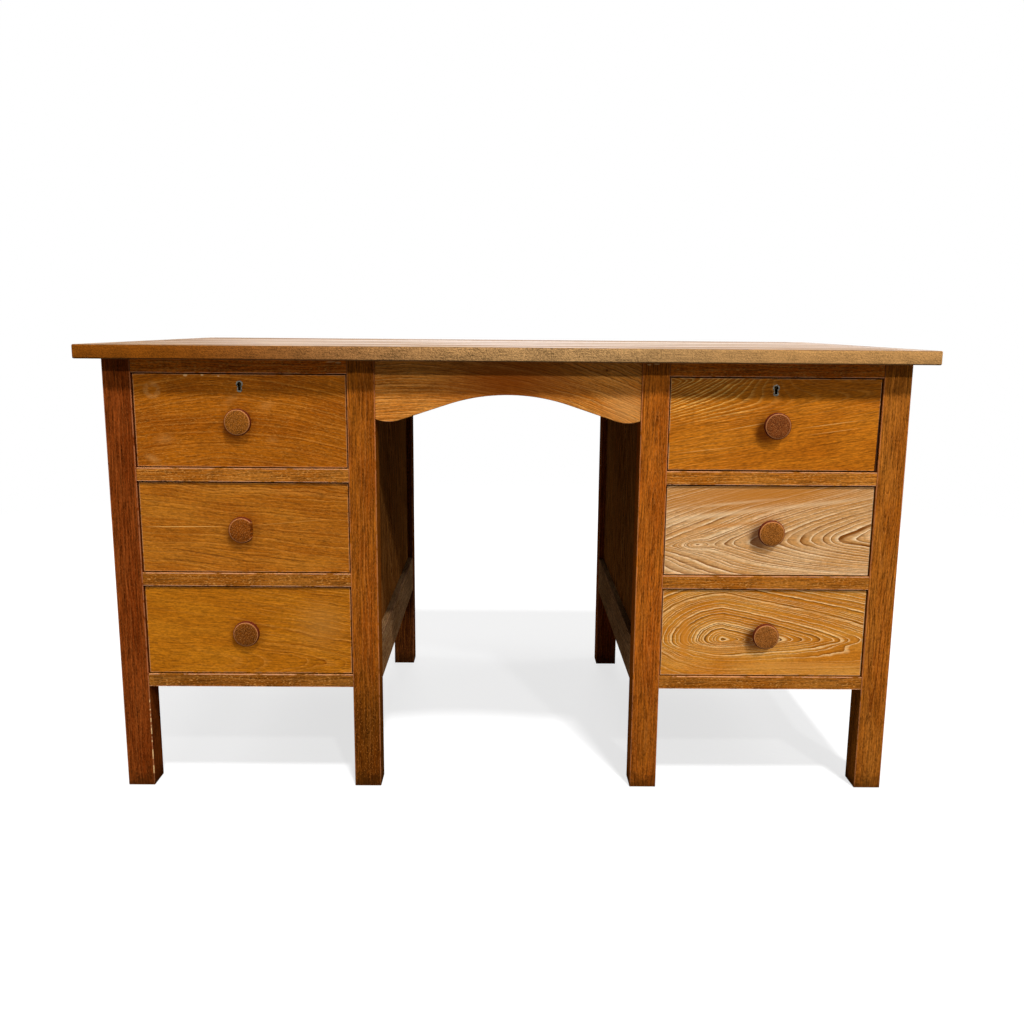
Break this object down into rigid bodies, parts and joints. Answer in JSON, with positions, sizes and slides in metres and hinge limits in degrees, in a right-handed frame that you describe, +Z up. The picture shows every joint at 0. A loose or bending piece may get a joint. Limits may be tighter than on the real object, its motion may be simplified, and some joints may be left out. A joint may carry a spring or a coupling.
{
  "type": "kneehole desk",
  "caption": "Twin-pedestal kneehole desk in oak and elm with sliding drawers, turned knobs, an arched apron and a flat plank top.",
  "frame": {"origin": "centre of the whole desk's plan, on the floor", "axes": "+X to the right along the length, +Y to the back, +Z up; the drawers face -Y"},
  "size_m": [1.372, 0.762, 0.7515],
  "materials": {
    "top_wood": "worn satin varnish on oak boards",
    "leg_wood": "satin varnish on open-pored oak",
    "frame_wood": "satin varnish on oak",
    "panel_wood": "satin varnish on elm",
    "apron_wood": "satin varnish on elm",
    "drawer_front_wood": "satin varnish on elm and oak",
    "knob_wood": "worn end grain, waxed",
    "drawer_lining": "bare planed wood",
    "drawer_bottom_ply": "bare plywood",
    "steel": "dull grey steel",
    "brass": "tarnished brass"
  },
  "bodies": {
    "frame": {"top_boards": "top_wood", "top_ends": "top_wood", "arched_apron": "apron_wood", "kneehole_back_rail": "frame_wood", "back_rails": "frame_wood", "back_panels": "panel_wood", "drawer_stops": "drawer_lining", "top_screws": "steel", "left_outer_side_rails": "frame_wood", "left_outer_side_panel": "panel_wood", "left_outer_front_leg": "leg_wood", "left_outer_back_leg": "leg_wood", "left_inner_side_rails": "frame_wood", "left_inner_side_panel": "panel_wood", "left_inner_front_leg": "leg_wood", "left_inner_back_leg": "leg_wood", "left_top_rail": "frame_wood", "left_drawer_rails": "frame_wood", "left_drawer_runners": "drawer_lining", "right_outer_side_rails": "frame_wood", "right_outer_side_panel": "panel_wood", "right_outer_front_leg": "leg_wood", "right_outer_back_leg": "leg_wood", "right_inner_side_rails": "frame_wood", "right_inner_side_panel": "panel_wood", "right_inner_front_leg": "leg_wood", "right_inner_back_leg": "leg_wood", "right_top_rail": "frame_wood", "right_drawer_rails": "frame_wood", "right_drawer_runners": "drawer_lining"},
    "left_top_drawer": {"left_top_drawer_front": "drawer_front_wood", "left_top_drawer_box": "drawer_lining", "left_top_drawer_bottom": "drawer_bottom_ply", "left_top_drawer_knob": "knob_wood", "left_lock_case": "brass", "left_escutcheon": "steel"},
    "left_lock_bolt": {"left_lock_bolt": "brass"},
    "left_middle_drawer": {"left_middle_drawer_front": "drawer_front_wood", "left_middle_drawer_box": "drawer_lining", "left_middle_drawer_bottom": "drawer_bottom_ply", "left_middle_drawer_knob": "knob_wood"},
    "left_bottom_drawer": {"left_bottom_drawer_front": "drawer_front_wood", "left_bottom_drawer_box": "drawer_lining", "left_bottom_drawer_bottom": "drawer_bottom_ply", "left_bottom_drawer_knob": "knob_wood"},
    "right_top_drawer": {"right_top_drawer_front": "drawer_front_wood", "right_top_drawer_box": "drawer_lining", "right_top_drawer_bottom": "drawer_bottom_ply", "right_top_drawer_knob": "knob_wood", "right_lock_case": "brass", "right_escutcheon": "steel"},
    "right_lock_bolt": {"right_lock_bolt": "brass"},
    "right_middle_drawer": {"right_middle_drawer_front": "drawer_front_wood", "right_middle_drawer_box": "drawer_lining", "right_middle_drawer_bottom": "drawer_bottom_ply", "right_middle_drawer_knob": "knob_wood"},
    "right_bottom_drawer": {"right_bottom_drawer_front": "drawer_front_wood", "right_bottom_drawer_box": "drawer_lining", "right_bottom_drawer_bottom": "drawer_bottom_ply", "right_bottom_drawer_knob": "knob_wood"}
  },
  "joints": [
    {"name": "left_top_drawer_slide", "type": "slide", "parent": "frame", "child": "left_top_drawer", "axis": [0, -1, 0], "range_m": [0, 0.4]},
    {"name": "left_middle_drawer_slide", "type": "slide", "parent": "frame", "child": "left_middle_drawer", "axis": [0, -1, 0], "range_m": [0, 0.4]},
    {"name": "left_bottom_drawer_slide", "type": "slide", "parent": "frame", "child": "left_bottom_drawer", "axis": [0, -1, 0], "range_m": [0, 0.4]},
    {"name": "left_lock_bolt_throw", "type": "slide", "parent": "left_top_drawer", "child": "left_lock_bolt", "axis": [0, 0, 1], "range_m": [0, 0.007]},
    {"name": "right_top_drawer_slide", "type": "slide", "parent": "frame", "child": "right_top_drawer", "axis": [0, -1, 0], "range_m": [0, 0.4]},
    {"name": "right_middle_drawer_slide", "type": "slide", "parent": "frame", "child": "right_middle_drawer", "axis": [0, -1, 0], "range_m": [0, 0.4]},
    {"name": "right_bottom_drawer_slide", "type": "slide", "parent": "frame", "child": "right_bottom_drawer", "axis": [0, -1, 0], "range_m": [0, 0.4]},
    {"name": "right_lock_bolt_throw", "type": "slide", "parent": "right_top_drawer", "child": "right_lock_bolt", "axis": [0, 0, 1], "range_m": [0, 0.007]}
  ]
}
